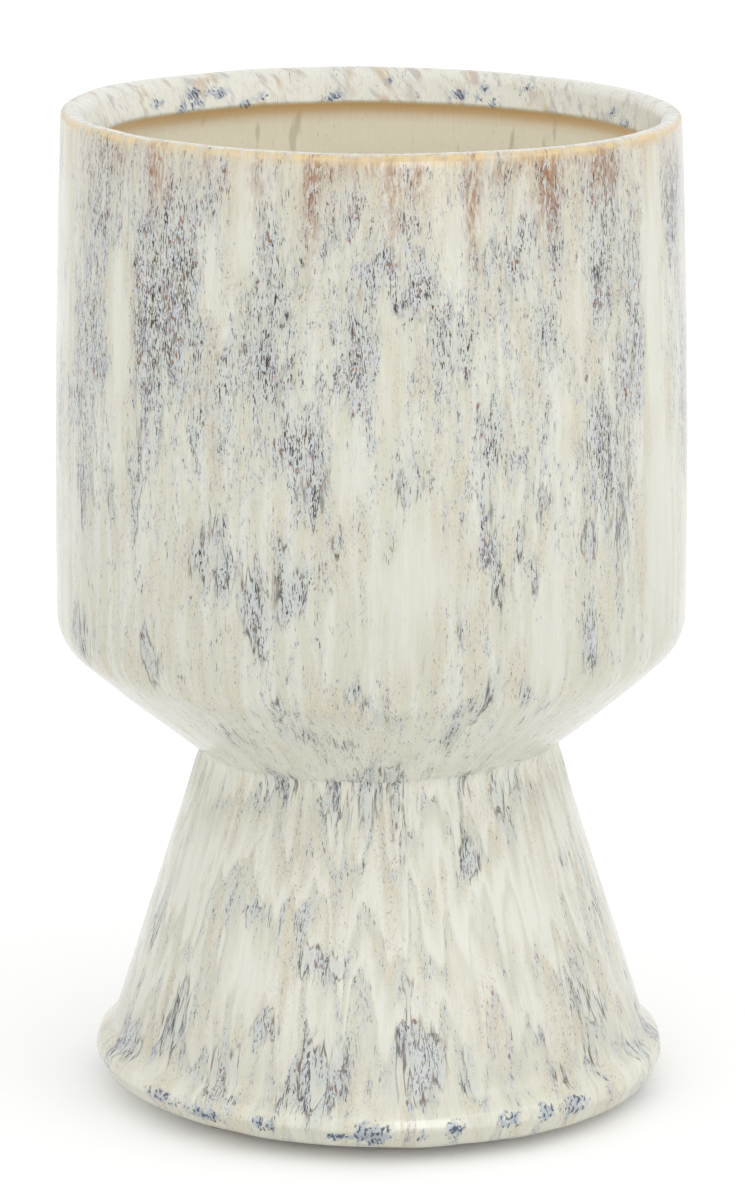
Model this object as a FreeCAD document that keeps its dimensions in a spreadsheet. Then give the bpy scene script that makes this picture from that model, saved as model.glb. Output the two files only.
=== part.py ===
import FreeCAD, Part
import os
import re
import Sketcher

# Footed stoneware planter: a glazed bowl luted on a hollow pedestal, with a drain plug and felt pads.
# Lengths are millimetres, +Z is up, and the origin is on the table below the planter's axis.

# Driving dimensions, written into the sheet as text
SIZES = {
    # Whole planter
    "planter_height": "300",
    # Bowl, outside: radii at the rim and at the corner where the wall meets the sloping underside
    "rim_radius": "91.8",
    "belly_radius": "94.9",
    "belly_height": "141.7",
    "belly_rounding": "14.5",
    "wall_bulge": "0.9",
    # Bowl, inside: a straight wall, its thickness measured at the lip and at the belly
    "wall_thickness": "5.5",
    "underside_thickness": "9.2",
    "floor_thickness": "10",
    "inside_rounding": "9",
    "floor_rounding": "7",
    # Lip: a thickened rim that leans in a little and overhangs the wall below it
    "lip_overhang": "1.5",
    "lip_lean": "1.5",
    "lip_flat": "0.1",
    "lip_drop": "9.8",
    "lip_undercut": "3.7",
    "rim_rounding": "2",
    "lip_edge_rounding": "0.8",
    "undercut_rounding": "2",
    # Waist, where the bowl is luted on the pedestal
    "waist_radius": "53.5",
    "waist_height": "106.6",
    "slip_thickness": "0.8",
    "spigot_depth": "4",
    # Pedestal: a bead stands proud of the cone's end, and a flat ring below it carries the planter
    "pedestal_wall": "8.2",
    "foot_radius": "85.9",
    "bead_rounding": "8.5",
    "bead_proud": "4.8",
    "bead_lift": "2.2",
    "bead_under_inset": "6.9",
    "bead_crease_rounding": "5",
    "ring_inset": "14.9",
    "ring_width": "9",
    "ring_inner_depth": "8",
    "ring_shoulder_height": "22",
    "ring_edge_rounding": "0.8",
    "hollow_rounding": "4",
    # Drain hole with a recess round it, and the rubber plug that sits flush in them
    "hole_radius": "9",
    "plug_clearance": "0.3",
    "stem_length": "9.5",
    "stem_taper": "0.9",
    "flange_radius": "15",
    "flange_thickness": "3",
    "knob_radius": "5",
    "knob_height": "7",
    "flange_rounding": "1",
    "knob_rounding": "2.5",
    # Felt pads under the foot ring
    "pad_radius": "4",
    "pad_thickness": "1.5",
}

PAD_COUNT = 4
FIRST_PAD_ANGLE = 45.0
FULL_TURN = 360.0
MATCH_TOLERANCE = 0.001

doc = FreeCAD.newDocument("stoneware_planter")
sheet = doc.addObject("Spreadsheet::Sheet", "Sizes")
for row, (alias, text) in enumerate(SIZES.items(), start=1):
    sheet.set(f"A{row}", alias)
    sheet.set(f"B{row}", text)
    sheet.setAlias(f"B{row}", alias)
doc.recompute()


def formula(text):
    """Give an expression in sheet cells for a sum written in plain size names."""
    def cell(word):
        return f"Sizes.{word.group()}" if word.group() in SIZES else word.group()
    return re.sub(r"[a-z_]+", cell, text)


def measure(text):
    """Work out a sum of sizes from the sheet as it stands."""
    return float(sheet.evalExpression(formula(text)))


def new_body(label):
    body = doc.addObject("PartDesign::Body", label)
    body.Label = label
    return body


def curve_between(start, end, radius):
    """Lay the shorter arc of a radius between two points, bulging away from the axis."""
    chord = end - start
    half = chord.Length / 2
    rise = radius - (radius ** 2 - half ** 2) ** 0.5
    across = FreeCAD.Vector(chord.y, -chord.x, 0).normalize()
    if across.x < 0:
        across = -across
    return Part.Arc(start, (start + end) / 2 + across * rise, end)


def tie(sketch, constraint, text):
    """Add a constraint and bind it to the sheet."""
    index = sketch.addConstraint(constraint)
    sketch.setExpression(f"Constraints[{index}]", formula(text))


def draw_section(body, corners, arcs):
    """Draw a closed half section on XZ; arcs maps the corner that an arc leaves to its radius."""
    sketch = body.newObject("Sketcher::SketchObject", f"{body.Label}_section")
    plane = next(part for part in body.Origin.OriginFeatures if part.Role == "XZ_Plane")
    sketch.AttachmentSupport = [(plane, "")]
    sketch.MapMode = "FlatFace"
    names = list(corners)
    points = [FreeCAD.Vector(measure(radius), measure(height), 0) for radius, height in corners.values()]
    ends = []
    for place, name in enumerate(names):
        start = points[place]
        end = points[(place + 1) % len(points)]
        if name in arcs:
            radius = arcs[name]
            edge = sketch.addGeometry(curve_between(start, end, measure(radius)))
            tie(sketch, Sketcher.Constraint("Radius", edge, measure(radius)), radius)
        else:
            edge = sketch.addGeometry(Part.LineSegment(start, end))
        forward = sketch.getPoint(edge, 1).isEqual(start, MATCH_TOLERANCE)
        ends.append((edge, 1, 2) if forward else (edge, 2, 1))
    for place, (radius, height) in enumerate(corners.values()):
        edge, first, last = ends[place]
        next_edge, next_first, next_last = ends[(place + 1) % len(ends)]
        sketch.addConstraint(Sketcher.Constraint("Coincident", edge, last, next_edge, next_first))
        if radius == "0":
            sketch.addConstraint(Sketcher.Constraint("PointOnObject", edge, first, -2))
        else:
            tie(sketch, Sketcher.Constraint("DistanceX", -1, 1, edge, first, measure(radius)), radius)
        tie(sketch, Sketcher.Constraint("DistanceY", -1, 1, edge, first, measure(height)), height)
    return sketch


def turn_body(label, corners, arcs):
    """Make a body by turning a half section about the planter's axis."""
    body = new_body(label)
    sketch = draw_section(body, corners, arcs)
    turned = body.newObject("PartDesign::Revolution", f"{label}_turned")
    turned.Profile = sketch
    turned.ReferenceAxis = (sketch, ["V_Axis"])
    turned.Angle = FULL_TURN
    doc.recompute()
    return body


def round_edge(body, corner, rounding):
    """Round the ring edge at one corner of the section."""
    radius = measure(corner[0])
    height = measure(corner[1])
    base = body.Tip
    found = []
    for number, edge in enumerate(base.Shape.Edges, start=1):
        if not isinstance(edge.Curve, Part.Circle):
            continue
        at_radius = abs(edge.Curve.Radius - radius) < MATCH_TOLERANCE
        at_height = abs(edge.Curve.Center.z - height) < MATCH_TOLERANCE
        if at_radius and at_height:
            found.append(f"Edge{number}")
    fillet = body.newObject("PartDesign::Fillet", f"{body.Label}_rounding")
    fillet.Base = (base, found)
    fillet.setExpression("Radius", formula(rounding))
    doc.recompute()


# Shared places, as sums of the sizes
UNDERSIDE_RISE = "(belly_height - waist_height - slip_thickness) / (belly_radius - waist_radius)"
BOWL_BASE = "waist_height + slip_thickness"
FLOOR_TOP = f"{BOWL_BASE} + floor_thickness"
PLUG_SEAT = f"{FLOOR_TOP} - flange_thickness"
SPIGOT_END = f"{BOWL_BASE} - spigot_depth"
SPIGOT_RADIUS = "waist_radius - pedestal_wall - slip_thickness"
INNER_BELLY_RADIUS = "belly_radius - wall_thickness"
MOUTH_RADIUS = "rim_radius - wall_thickness - lip_overhang"
LIP_ROUNDING = "wall_thickness + lip_overhang - lip_lean - rim_rounding - lip_flat"
LIP_EDGE_HEIGHT = "planter_height - lip_drop"
BEAD_HEIGHT = "pad_thickness + bead_lift + bead_rounding"
CONE_END_RADIUS = "(foot_radius - bead_proud)"
CONE_END_HEIGHT = f"({BEAD_HEIGHT} + sqrt(bead_rounding ^ 2 - (bead_rounding - bead_proud) ^ 2))"
CONE_SPREAD = f"({CONE_END_RADIUS} - waist_radius) / (waist_height - {CONE_END_HEIGHT})"
RING_OUTER_RADIUS = "foot_radius - ring_inset"
RING_INNER_RADIUS = f"{RING_OUTER_RADIUS} - ring_width"


def barrel_radius(top, bottom):
    """Radius of a wall that bulges from the straight line between two corners of the section."""
    chord = f"(({top[0]} - ({bottom[0]})) ^ 2 + ({top[1]} - ({bottom[1]})) ^ 2)"
    return f"{chord} / (8 * wall_bulge) + wall_bulge / 2"


def make_bowl():
    """Bowl: lip, barrelled wall, sloping underside, and a floor with a spigot and a recessed drain hole."""
    floor_corner = f"waist_radius + (floor_thickness - underside_thickness) / ({UNDERSIDE_RISE})"
    inner_belly = f"{BOWL_BASE} + underside_thickness + (belly_radius - wall_thickness - waist_radius)" \
                  f" * {UNDERSIDE_RISE}"
    corners = {
        "spigot_hole": ("hole_radius", SPIGOT_END),
        "spigot_edge": (SPIGOT_RADIUS, SPIGOT_END),
        "spigot_root": (SPIGOT_RADIUS, BOWL_BASE),
        "waist": ("waist_radius", BOWL_BASE),
        "belly": ("belly_radius", "belly_height"),
        "rim": ("rim_radius", "planter_height"),
        "lip_top": (f"{MOUTH_RADIUS} + lip_lean", "planter_height"),
        "lip_edge": (MOUTH_RADIUS, LIP_EDGE_HEIGHT),
        "undercut": ("rim_radius - wall_thickness", f"{LIP_EDGE_HEIGHT} - lip_undercut"),
        "inner_belly": (INNER_BELLY_RADIUS, inner_belly),
        "floor_corner": (floor_corner, FLOOR_TOP),
        "recess_edge": ("flange_radius + plug_clearance", FLOOR_TOP),
        "recess_corner": ("flange_radius + plug_clearance", PLUG_SEAT),
        "hole_top": ("hole_radius", PLUG_SEAT),
    }
    body = turn_body("bowl", corners, {"belly": barrel_radius(corners["rim"], corners["belly"])})
    for corner, rounding in (("belly", "belly_rounding"), ("inner_belly", "inside_rounding"),
                             ("floor_corner", "floor_rounding"), ("rim", "rim_rounding"),
                             ("lip_top", LIP_ROUNDING), ("lip_edge", "lip_edge_rounding"),
                             ("undercut", "undercut_rounding")):
        round_edge(body, corners[corner], rounding)


def make_pedestal():
    """Pedestal: a hollow cone that opens downward, with a rolled bead and a flat foot ring."""
    bead_under = f"{BEAD_HEIGHT} - sqrt(bead_rounding ^ 2 - (bead_rounding - bead_under_inset) ^ 2)"
    shoulder = f"waist_radius - pedestal_wall + (waist_height - ring_shoulder_height) * {CONE_SPREAD}"
    corners = {
        "mouth": ("waist_radius - pedestal_wall", "waist_height"),
        "shoulder": (shoulder, "ring_shoulder_height"),
        "ring_top": (RING_INNER_RADIUS, "pad_thickness + ring_inner_depth"),
        "ring_inner": (RING_INNER_RADIUS, "pad_thickness"),
        "ring_outer": (RING_OUTER_RADIUS, "pad_thickness"),
        "bead_under": ("foot_radius - bead_under_inset", bead_under),
        "cone_end": (CONE_END_RADIUS, CONE_END_HEIGHT),
        "top": ("waist_radius", "waist_height"),
    }
    body = turn_body("pedestal", corners, {"bead_under": "bead_rounding"})
    for corner, rounding in (("shoulder", "hollow_rounding"), ("ring_top", "hollow_rounding"),
                             ("ring_inner", "ring_edge_rounding"), ("ring_outer", "ring_edge_rounding"),
                             ("cone_end", "bead_crease_rounding")):
        round_edge(body, corners[corner], rounding)


def make_luting_slip():
    """Fired slip that fills the joint under the bowl and round its spigot."""
    corners = {
        "spigot_foot": (SPIGOT_RADIUS, SPIGOT_END),
        "mouth_foot": ("waist_radius - pedestal_wall", SPIGOT_END),
        "mouth": ("waist_radius - pedestal_wall", "waist_height"),
        "outer_foot": ("waist_radius", "waist_height"),
        "outer_top": ("waist_radius", BOWL_BASE),
        "spigot_root": (SPIGOT_RADIUS, BOWL_BASE),
    }
    turn_body("luting_slip", corners, {})


def make_drain_plug():
    """Rubber plug: a tapered stem in the drain hole, a flange in its recess and a knob to pull."""
    tip_height = f"{PLUG_SEAT} - stem_length"
    knob_top = f"{FLOOR_TOP} + knob_height"
    corners = {
        "tip_centre": ("0", tip_height),
        "tip": ("hole_radius - plug_clearance - stem_taper", tip_height),
        "stem_root": ("hole_radius - plug_clearance", PLUG_SEAT),
        "flange_under": ("flange_radius", PLUG_SEAT),
        "flange_top": ("flange_radius", FLOOR_TOP),
        "knob_root": ("knob_radius", FLOOR_TOP),
        "knob_top": ("knob_radius", knob_top),
        "top_centre": ("0", knob_top),
    }
    body = turn_body("drain_plug", corners, {})
    round_edge(body, corners["flange_top"], "flange_rounding")
    round_edge(body, corners["knob_root"], "flange_rounding")
    round_edge(body, corners["knob_top"], "knob_rounding")


def make_felt_pads():
    """Round felt pads, evenly spaced under the middle of the foot ring."""
    circle = formula(f"({RING_OUTER_RADIUS} - ring_width / 2)")
    for index in range(PAD_COUNT):
        label = f"felt_pad_{index + 1}"
        angle = FIRST_PAD_ANGLE + index * FULL_TURN / PAD_COUNT
        pad = doc.addObject("Part::Cylinder", label)
        pad.Label = label
        pad.setExpression("Radius", formula("pad_radius"))
        pad.setExpression("Height", formula("pad_thickness"))
        pad.setExpression("Placement.Base.x", f"{circle} * cos({angle} deg)")
        pad.setExpression("Placement.Base.y", f"{circle} * sin({angle} deg)")


make_bowl()
make_pedestal()
make_luting_slip()
make_drain_plug()
make_felt_pads()
doc.recompute()

for item in doc.Objects:
    if "Invalid" in item.State or "Error" in item.State:
        raise RuntimeError(f"{item.Label} failed to build: {item.State}")

sub_parts = [item for item in doc.Objects if item.TypeId in ("PartDesign::Body", "Part::Cylinder")]
os.makedirs("parts", exist_ok=True)
for item in sub_parts:
    if item.Shape.isNull() or not item.Shape.isValid():
        raise RuntimeError(f"{item.Label} has no valid shape")
for item in sub_parts:
    item.Shape.exportStep(f"parts/{item.Label}.step")
    box = item.Shape.optimalBoundingBox()
    print(f"{item.Label}: {item.Shape.Volume:.0f} mm3, z {box.ZMin:.2f} to {box.ZMax:.2f} mm,"
          f" width {box.XLength:.2f} mm")
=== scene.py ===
# %% [markdown]
# # A footed stoneware planter
# The planter is a deep bowl on a conical foot, fired as one and covered in a glossy reactive glaze.
# The imported model is a fixed frame: every piece below is made in its place, in metres, with +Z up.
# The imported parts stay in the scene, and their boxes give some of the sizes below.

# %% Load the imported model
import math
import random

import bpy
import numpy as np
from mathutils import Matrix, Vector, noise


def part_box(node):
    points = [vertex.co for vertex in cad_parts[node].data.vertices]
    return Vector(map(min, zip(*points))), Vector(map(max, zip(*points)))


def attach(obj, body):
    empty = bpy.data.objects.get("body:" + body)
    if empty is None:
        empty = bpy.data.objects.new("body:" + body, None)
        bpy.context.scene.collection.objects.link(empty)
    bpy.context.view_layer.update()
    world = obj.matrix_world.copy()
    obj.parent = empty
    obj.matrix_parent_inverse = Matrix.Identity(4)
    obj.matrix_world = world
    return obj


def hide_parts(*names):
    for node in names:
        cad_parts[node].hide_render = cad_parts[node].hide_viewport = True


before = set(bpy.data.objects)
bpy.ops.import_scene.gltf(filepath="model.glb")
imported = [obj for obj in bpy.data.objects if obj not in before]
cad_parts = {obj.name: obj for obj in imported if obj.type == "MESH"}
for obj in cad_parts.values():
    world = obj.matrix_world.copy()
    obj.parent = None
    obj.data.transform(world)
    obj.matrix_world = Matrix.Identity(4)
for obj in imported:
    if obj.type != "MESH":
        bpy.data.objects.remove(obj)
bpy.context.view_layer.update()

MM = 0.001

# %% [markdown]
# ## The camera
# A pot on a table is seen from a little above, with a long lens, so that the rim and the foot are both
# shallow ellipses. The lens, distance and tilt were found by matching the outline of the ware to the
# photograph. The camera comes first because the larger patches of glaze are placed by looking through it.

# %% Set up the camera
IMAGE_WIDTH = 745
IMAGE_HEIGHT = 1200
SENSOR = 36.0
LENS = 159.98
CAMERA_SIDE = -1.8 * MM
CAMERA_DISTANCE = 1566.3 * MM
CAMERA_HEIGHT = 525.5 * MM
CAMERA_PITCH = math.radians(13.463)


def put_in_scene(name, data):
    """Make an object of a mesh, lamp or camera and link it to the scene."""
    thing = bpy.data.objects.new(name, data)
    bpy.context.scene.collection.objects.link(thing)
    return thing


camera = put_in_scene("camera", bpy.data.cameras.new("camera"))
camera.data.sensor_width = SENSOR
camera.data.lens = LENS
camera.location = (CAMERA_SIDE, -CAMERA_DISTANCE, CAMERA_HEIGHT)
camera.rotation_euler = (math.pi / 2 - CAMERA_PITCH, 0, 0)
bpy.context.scene.camera = camera


def ray_through(x, y):
    """Direction from the camera through a pixel of the photograph."""
    focal = LENS / SENSOR * IMAGE_HEIGHT
    across = (x - IMAGE_WIDTH / 2) / focal
    up = (IMAGE_HEIGHT / 2 - y) / focal
    return (camera.rotation_euler.to_matrix() @ Vector((across, up, -1))).normalized()


print("camera:", [round(value, 3) for value in camera.location], "lens", LENS)

# %% [markdown]
# ## The section of the ware
# Thrown ware is round, so its whole shape is one half section turned about the axis. The section is
# written as a few corners, each with its rounding, in the order in which a finger would follow them.
# The same helper serves the bowl and the pedestal. It also measures the length along the section,
# because a glaze runs down the ware and its streaks follow that length.


# %% Turn corners into a smooth section
def smooth_section(corners, bulges):
    """Follow a closed list of corners (name, radius, height, rounding, step) and round each one.

    A bulge swells the straight part after the corner that it names. Gives the points, the length along
    them, and the length at which each named corner lies.
    """
    places = [Vector((radius, height)) for _, radius, height, _, _ in corners]
    arcs = []
    for index, (_, _, _, rounding, step) in enumerate(corners):
        here = places[index]
        back = (places[index - 1] - here).normalized()
        ahead = (places[(index + 1) % len(places)] - here).normalized()
        turn = math.pi - back.angle(ahead)
        if not rounding:
            arcs.append([here])
            continue
        centre = here + (back + ahead).normalized() * rounding / math.cos(turn / 2)
        start = here + back * rounding * math.tan(turn / 2) - centre
        sign = 1 if start.cross(ahead) > 0 else -1
        count = max(3, math.ceil(rounding * turn / step))
        sweep = [sign * turn * part / count for part in range(count + 1)]
        arcs.append([centre + turned(start, angle) for angle in sweep])
    points = []
    marks = {}
    for index, (name, _, _, _, step) in enumerate(corners):
        marks[name] = len(points) + len(arcs[index]) // 2
        points += arcs[index]
        start = arcs[index][-1]
        end = arcs[(index + 1) % len(arcs)][0]
        run = end - start
        count = max(1, round(run.length / step))
        for part in range(1, count):
            share = part / count
            swell = bulges.get(name, 0) * 4 * share * (1 - share)
            points.append(start + run * share + Vector((swell, 0)))
    lengths = [0.0]
    for before, after in zip(points, points[1:]):
        lengths.append(lengths[-1] + (after - before).length)
    return points, lengths, {name: lengths[place] for name, place in marks.items()}


def turned(vector, angle):
    """Turn a flat vector by an angle."""
    cosine = math.cos(angle)
    sine = math.sin(angle)
    return Vector((vector.x * cosine - vector.y * sine, vector.x * sine + vector.y * cosine))


# %% [markdown]
# ## Turning a section into a mesh
# Blender's Screw modifier can turn a profile, but the rings are laid one by one here, so that every point
# knows its angle and its length along the section. These two numbers become an attribute that the glaze
# reads. The ware also gets the slight unevenness of a fired pot: it is never perfectly round, and the
# glaze gathers in a soft uneven roll along the foot.

# %% Lay rings of points round the axis
SEGMENTS = 384


def ring_angles():
    """One angle per segment of a ring."""
    return np.arange(SEGMENTS) * 2 * math.pi / SEGMENTS


def per_ring(values):
    """One number per ring, ready to be combined with one number per angle."""
    return np.array(values)[:, None]


def lathe_mesh(name, points, outward, upward):
    """Turn a closed section into a closed mesh, with each point moved outward and upward."""
    angles = ring_angles()
    radius = per_ring([point.x for point in points]) + outward
    height = per_ring([point.y for point in points]) + upward
    places = np.stack([radius * np.cos(angles), radius * np.sin(angles), height], axis=2)
    rows = len(points)
    here = np.arange(rows)[:, None] * SEGMENTS + np.arange(SEGMENTS)[None, :]
    beside = np.roll(here, -1, axis=1)
    above = np.roll(here, -1, axis=0)
    across = np.roll(above, -1, axis=1)
    faces = np.stack([here, beside, across, above], axis=2).reshape(-1, 4)
    mesh = bpy.data.meshes.new(name)
    mesh.from_pydata(places.reshape(-1, 3), [], faces.tolist())
    mesh.polygons.foreach_set("use_smooth", np.ones(len(faces), dtype=bool))
    mesh.update()
    return put_in_scene(name, mesh)


def point_attribute(piece, name, first, second, third):
    """Store three numbers per point for the shaders to read."""
    layer = piece.data.attributes.new(name, "FLOAT_VECTOR", "POINT")
    shape = (len(piece.data.vertices) // SEGMENTS, SEGMENTS)
    values = [np.broadcast_to(part, shape) for part in (first, second, third)]
    layer.data.foreach_set("vector", np.stack(values, axis=2).reshape(-1).astype(np.float32))


def smooth_rise(value, low, high):
    """Rise from 0 at low to 1 at high, with soft ends."""
    share = np.clip((value - low) / (high - low), 0, 1)
    return share * share * (3 - 2 * share)


def smooth_drop(value, low, high):
    """Drop from 1 at low to 0 at high, with soft ends."""
    return smooth_rise(-value, -high, -low)


# The ware's rough radius in millimetres, which gives every streak and lump a size round the ware.
FLOW_RADIUS = 95.0


def uneven(lengths, across, along, seed):
    """Smooth random field over the ware, from about -1 to 1, with lumps of these sizes in millimetres."""
    angles = ring_angles()
    field = np.empty((len(lengths), SEGMENTS))
    for row, length in enumerate(lengths):
        for column, angle in enumerate(angles):
            spot = (FLOW_RADIUS * math.cos(angle) / across, FLOW_RADIUS * math.sin(angle) / across,
                    length / MM / along + seed)
            field[row, column] = noise.noise(spot)
    return field


# %% [markdown]
# ## The bowl
# The bowl is an almost straight cylinder that swells by a millimetre, with a rounded lower edge and a
# sloping underside. Its lip is thicker than the wall: the top is domed, leans inward and overhangs the
# inner wall, which is why a dark line shows under it. The section starts at the waist and goes up.
# Hand-made ware is never quite true: this bowl stands two millimetres to the left of its foot, its rim
# dips a little to the right and the joint at its waist to the left. These slants fade out up and down.

# %% Make the bowl
RIM_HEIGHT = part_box("bowl")[1].z
RIM_RADIUS = 91.8 * MM
BELLY_RADIUS = 94.9 * MM
BELLY_HEIGHT = 141.7 * MM
WALL_BULGE = 0.9 * MM
UNDERSIDE_BULGE = 0.9 * MM
WALL = 5.5 * MM
LIP_OVERHANG = 3.3 * MM
LIP_LEAN = 2.8 * MM
LIP_DROP = 9.8 * MM
LIP_UNDERCUT = 3.7 * MM
WAIST_RADIUS = 53.5 * MM
BOWL_BASE = 107.4 * MM
FLOOR_HEIGHT = 117.4 * MM
FLOOR_RADIUS = 54.4 * MM
INNER_BELLY_HEIGHT = 146.3 * MM
PLUG_RECESS_RADIUS = 15.3 * MM
PLUG_RECESS_HEIGHT = 114.4 * MM
DRAIN_RADIUS = 9.0 * MM
SPIGOT_RADIUS = 44.5 * MM
SPIGOT_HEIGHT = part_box("bowl")[0].z

FINE = 0.6 * MM
MEDIUM = 2.0 * MM
COARSE = 3.5 * MM

MOUTH_RADIUS = RIM_RADIUS - WALL - LIP_OVERHANG
LIP_EDGE_HEIGHT = RIM_HEIGHT - LIP_DROP
BOWL_CORNERS = [
    ("waist", WAIST_RADIUS, BOWL_BASE, 0.5 * MM, MEDIUM),
    ("belly", BELLY_RADIUS, BELLY_HEIGHT, 14.5 * MM, MEDIUM),
    ("rim", RIM_RADIUS, RIM_HEIGHT, 2.1 * MM, FINE),
    ("lip_top", MOUTH_RADIUS + LIP_LEAN, RIM_HEIGHT, 4.4 * MM, FINE),
    ("lip_edge", MOUTH_RADIUS, LIP_EDGE_HEIGHT, 0.9 * MM, FINE),
    ("undercut", RIM_RADIUS - WALL, LIP_EDGE_HEIGHT - LIP_UNDERCUT, 9.0 * MM, COARSE),
    ("inner_belly", BELLY_RADIUS - WALL, INNER_BELLY_HEIGHT, 9.0 * MM, COARSE),
    ("floor_edge", FLOOR_RADIUS, FLOOR_HEIGHT, 7.0 * MM, COARSE),
    ("recess_edge", PLUG_RECESS_RADIUS, FLOOR_HEIGHT, 0.4 * MM, MEDIUM),
    ("recess_corner", PLUG_RECESS_RADIUS, PLUG_RECESS_HEIGHT, 0.4 * MM, MEDIUM),
    ("drain_top", DRAIN_RADIUS, PLUG_RECESS_HEIGHT, 0.4 * MM, COARSE),
    ("drain_foot", DRAIN_RADIUS, SPIGOT_HEIGHT, 0.8 * MM, COARSE),
    ("spigot_edge", SPIGOT_RADIUS, SPIGOT_HEIGHT, 0.8 * MM, COARSE),
    ("spigot_root", SPIGOT_RADIUS, BOWL_BASE, 0.4 * MM, COARSE),
]
BOWL_BULGES = {"waist": UNDERSIDE_BULGE, "belly": WALL_BULGE}
bowl_points, bowl_lengths, bowl_marks = smooth_section(BOWL_CORNERS, BOWL_BULGES)
bowl_run = per_ring(bowl_lengths)
rim_run = bowl_marks["rim"]
lip_run = bowl_marks["lip_edge"]
bowl_fall = rim_run - bowl_run
bowl_outside = (bowl_run <= bowl_marks["undercut"]).astype(float)

OUT_OF_ROUND = 0.35 * MM
LIP_WAVE = 0.35 * MM
LIP_WAVE_REACH = 8 * MM
bowl_wobble = uneven(bowl_lengths, across=60, along=90, seed=3.1) * OUT_OF_ROUND * bowl_outside
near_lip = smooth_rise(bowl_run, rim_run - LIP_WAVE_REACH, rim_run)
lip_wave = uneven(bowl_lengths, across=26, along=200, seed=9.4) * LIP_WAVE * near_lip * bowl_outside


def slant(points, angle, heights, shares):
    """Rise towards the right by an angle, in the share given at each height."""
    radius = per_ring([point.x for point in points])
    share = per_ring(np.interp([point.y for point in points], heights, shares))
    return math.tan(angle) * radius * np.cos(ring_angles()) * share


OFF_CENTRE = 2.2 * MM
MOUTH_SHIFT = 1.2 * MM
SMEAR = 0.7 * MM
RIM_SLANT = math.radians(-0.5)
RIM_SLANT_REACH = 100 * MM
WAIST_SLANT = math.radians(1.3)
WAIST_SLANT_REACH = 25 * MM
WAIST_HEIGHTS = (BOWL_BASE - WAIST_SLANT_REACH, BOWL_BASE, BOWL_BASE + WAIST_SLANT_REACH)
to_the_right = np.cos(ring_angles())
bowl_height = per_ring([point.y for point in bowl_points])
above_waist = smooth_rise(bowl_height, BOWL_BASE + 1 * MM, BOWL_BASE + 34 * MM) * bowl_outside
above_floor = smooth_rise(bowl_height, FLOOR_HEIGHT + 3 * MM, FLOOR_HEIGHT + 33 * MM) * (1 - bowl_outside)
off_centre = -OFF_CENTRE * to_the_right * (above_waist + above_floor)
on_mouth = smooth_rise(bowl_run, rim_run + 3 * MM, lip_run)
on_mouth *= smooth_drop(bowl_run, lip_run, bowl_marks["undercut"] + 4 * MM)
off_centre += MOUTH_SHIFT * to_the_right * on_mouth
smear = smooth_drop(bowl_height, BOWL_BASE + 4 * MM, BOWL_BASE + 24 * MM) * bowl_outside
bowl_wobble += uneven(bowl_lengths, across=14, along=11, seed=31.7) * SMEAR * smear
bowl_rise = lip_wave + slant(bowl_points, RIM_SLANT, (RIM_HEIGHT - RIM_SLANT_REACH, RIM_HEIGHT), (0, 1))
bowl_rise += slant(bowl_points, WAIST_SLANT, WAIST_HEIGHTS, (0, 1, 0)) * bowl_outside
bowl_ware = lathe_mesh("bowl_ware", bowl_points, bowl_wobble + off_centre, bowl_rise)
print("bowl:", len(bowl_ware.data.vertices), "points, rim to waist", round(rim_run / MM, 1), "mm")

# %% [markdown]
# ## The pedestal
# The pedestal is a hollow cone, open below, with a rolled bead at its foot. Where the two pieces were
# luted together the potter wiped the slip into a small uneven fillet, so the pedestal's top flares up
# along the bowl's underside. The ware stands on a flat ring that is wiped clean of glaze before firing.

# %% Make the pedestal
PAD_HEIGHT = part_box("felt_pad_1")[1].z
WAIST_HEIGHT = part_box("pedestal")[1].z
FOOT_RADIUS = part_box("pedestal")[1].x
PEDESTAL_WALL = 8.2 * MM
CONE_END_RADIUS = 81.4 * MM
CONE_END_HEIGHT = 19.0 * MM
BEAD_TOP_HEIGHT = 14.8 * MM
BEAD_HEIGHT = 11.2 * MM
BEAD_LOW_HEIGHT = 5.6 * MM
RING_OUTER_RADIUS = 71.0 * MM
RING_INNER_RADIUS = 62.0 * MM
RING_TOP_HEIGHT = 9.5 * MM
SHOULDER_RADIUS = 72.2 * MM
SHOULDER_HEIGHT = 22.0 * MM
FLARE = 3.2 * MM
UNDERSIDE_RISE = (BELLY_HEIGHT - BOWL_BASE) / (BELLY_RADIUS - WAIST_RADIUS)

PEDESTAL_CORNERS = [
    ("flare_tip", WAIST_RADIUS + FLARE, BOWL_BASE + FLARE * UNDERSIDE_RISE, 0, FINE),
    ("waist", WAIST_RADIUS + 0.3 * MM, BOWL_BASE, 3.6 * MM, MEDIUM),
    ("cone_end", CONE_END_RADIUS, CONE_END_HEIGHT, 7.0 * MM, FINE),
    ("bead_top", FOOT_RADIUS + 0.1 * MM, BEAD_TOP_HEIGHT, 1.6 * MM, FINE),
    ("bead", FOOT_RADIUS + 0.9 * MM, BEAD_HEIGHT, 2.0 * MM, FINE),
    ("bead_low", FOOT_RADIUS - 2.0 * MM, BEAD_LOW_HEIGHT, 4.0 * MM, FINE),
    ("ring_outer", RING_OUTER_RADIUS, PAD_HEIGHT, 0.8 * MM, MEDIUM),
    ("ring_inner", RING_INNER_RADIUS, PAD_HEIGHT, 0.8 * MM, MEDIUM),
    ("ring_top", RING_INNER_RADIUS, RING_TOP_HEIGHT, 4.0 * MM, COARSE),
    ("shoulder", SHOULDER_RADIUS, SHOULDER_HEIGHT, 4.0 * MM, COARSE),
    ("mouth", WAIST_RADIUS - PEDESTAL_WALL, WAIST_HEIGHT, 0, COARSE),
    ("inner_lute", WAIST_RADIUS - FLARE, BOWL_BASE, 0, COARSE),
]
pedestal_points, pedestal_lengths, pedestal_marks = smooth_section(PEDESTAL_CORNERS, {})
pedestal_run = per_ring(pedestal_lengths)
waist_run = pedestal_marks["waist"]
ring_run = pedestal_marks["ring_outer"]
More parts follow.
